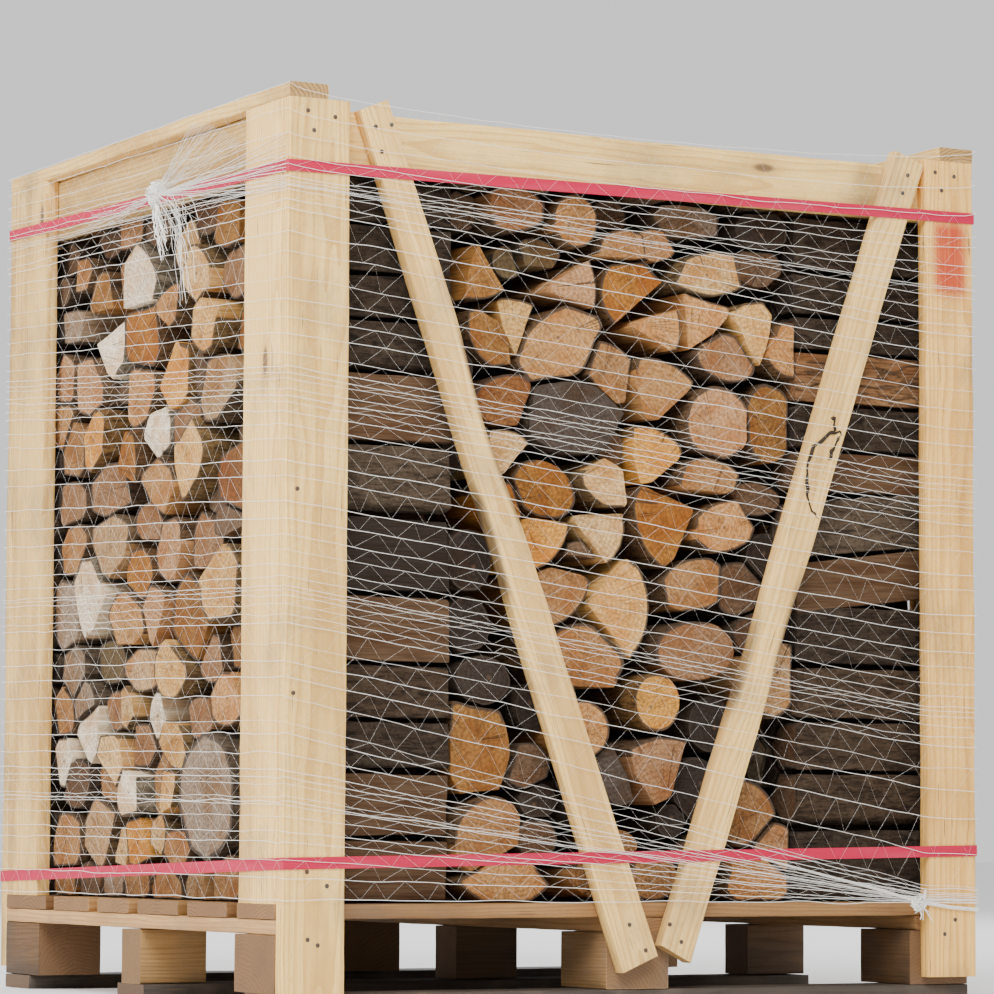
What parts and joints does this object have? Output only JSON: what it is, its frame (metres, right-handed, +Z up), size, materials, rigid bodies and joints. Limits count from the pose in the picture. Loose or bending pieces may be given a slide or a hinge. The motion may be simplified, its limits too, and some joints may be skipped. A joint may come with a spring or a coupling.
{
  "type": "pallet of firewood",
  "caption": "Split alder firewood stacked on a flat wooden pallet inside corner posts, top rails and V braces, held by bands and a stretched net.",
  "frame": {"origin": "centre of the footprint, on the ground under the bottom boards", "axes": "+Z up, +X towards the right post seen from the front, front towards -Y"},
  "size_m": [1.2088, 1.0568, 1.331],
  "materials": {
    "crate_plank": "rough-sawn pale softwood, raw",
    "pallet_wood": "rough-sawn brown softwood, weathered",
    "bottom_board": "rough-sawn softwood, dark and damp",
    "firewood": "split alder with orange-tan end grain and dark grey-brown bark",
    "band": "pinkish red embossed plastic strapping, slight sheen",
    "net": "white knitted plastic net, stretched"
  },
  "bodies": {
    "root": {"bottom_board_front": "bottom_board", "bottom_board_middle": "bottom_board", "bottom_board_rear": "bottom_board", "block_front_left": "pallet_wood", "block_front_centre": "pallet_wood", "block_front_right": "pallet_wood", "block_middle_left": "pallet_wood", "block_middle_centre": "pallet_wood", "block_middle_right": "pallet_wood", "block_rear_left": "pallet_wood", "block_rear_centre": "pallet_wood", "block_rear_right": "pallet_wood", "stringer_left": "pallet_wood", "stringer_centre": "pallet_wood", "stringer_right": "pallet_wood", "deck_board_1": "pallet_wood", "deck_board_2": "pallet_wood", "deck_board_3": "pallet_wood", "deck_board_4": "pallet_wood", "deck_board_5": "pallet_wood", "deck_board_6": "pallet_wood", "post_front_left_face": "crate_plank", "post_front_left_side": "crate_plank", "post_front_right_face": "crate_plank", "post_front_right_side": "crate_plank", "post_rear_left_face": "crate_plank", "post_rear_left_side": "crate_plank", "post_rear_right_face": "crate_plank", "post_rear_right_side": "crate_plank", "top_rail_left": "crate_plank", "top_rail_right": "crate_plank", "top_board_front": "crate_plank", "top_board_rear": "crate_plank", "top_board_left": "crate_plank", "top_board_right": "crate_plank", "brace_front_left": "crate_plank", "brace_front_right": "crate_plank", "brace_rear_left": "crate_plank", "brace_rear_right": "crate_plank", "band_upper": "band", "band_lower": "band", "net": "net", "net_knot": "net", "net_tie": "net", "firewood_front": "firewood", "firewood_middle": "firewood", "firewood_rear": "firewood", "firewood_left": "firewood", "firewood_right": "firewood", "log_front_broad_round": "firewood", "log_front_heart": "firewood", "log_front_weathered": "firewood", "log_front_amber": "firewood", "log_front_pale_quarter": "firewood", "log_front_small_round": "firewood", "log_front_broad_half": "firewood", "log_front_orange_quarter": "firewood", "log_front_beige_half": "firewood"}
  },
  "joints": []
}
